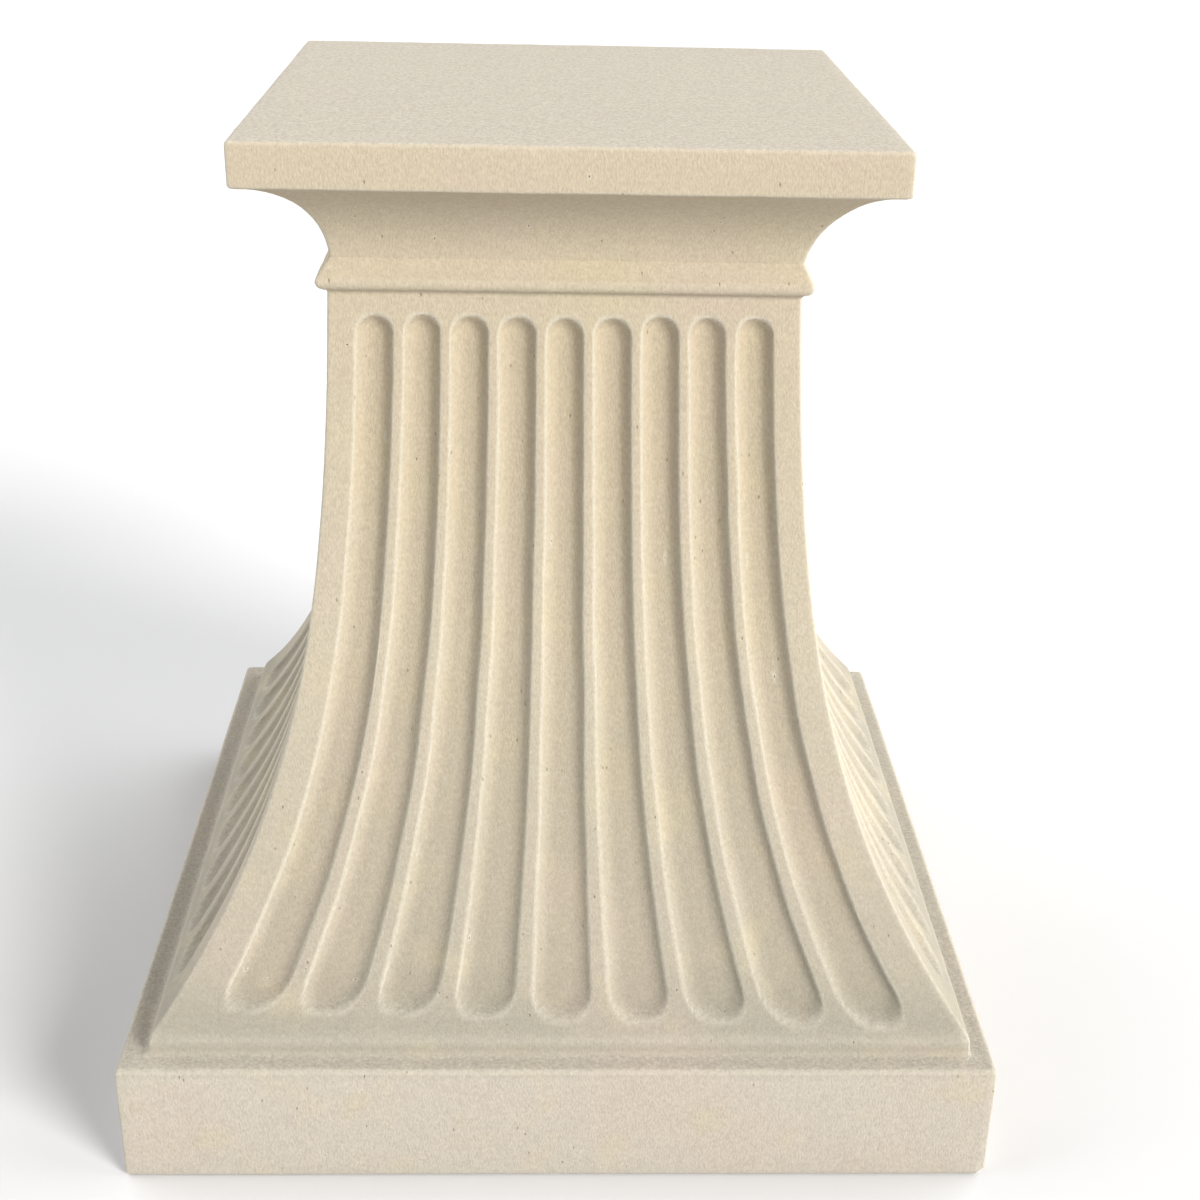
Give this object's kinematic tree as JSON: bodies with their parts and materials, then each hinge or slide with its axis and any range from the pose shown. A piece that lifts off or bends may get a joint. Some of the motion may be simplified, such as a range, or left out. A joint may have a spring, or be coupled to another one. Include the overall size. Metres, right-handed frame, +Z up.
{
  "type": "column base",
  "caption": "Square cast-stone column base: a plinth, a flared shaft with round-ended flutes on all four sides, a bead, a cavetto and a flat slab on top.",
  "frame": {"origin": "middle of the underside of the plinth", "axes": "+Z up, from the plinth to the slab; X and Y square to the four faces, with -Y the face seen first"},
  "size_m": [0.61, 0.61, 0.704],
  "materials": {
    "cast_stone": "matt cast limestone, warm cream with a fine sandy grain, faint mottling and small air holes"
  },
  "bodies": {
    "root": {"column_base": "cast_stone"}
  },
  "joints": []
}
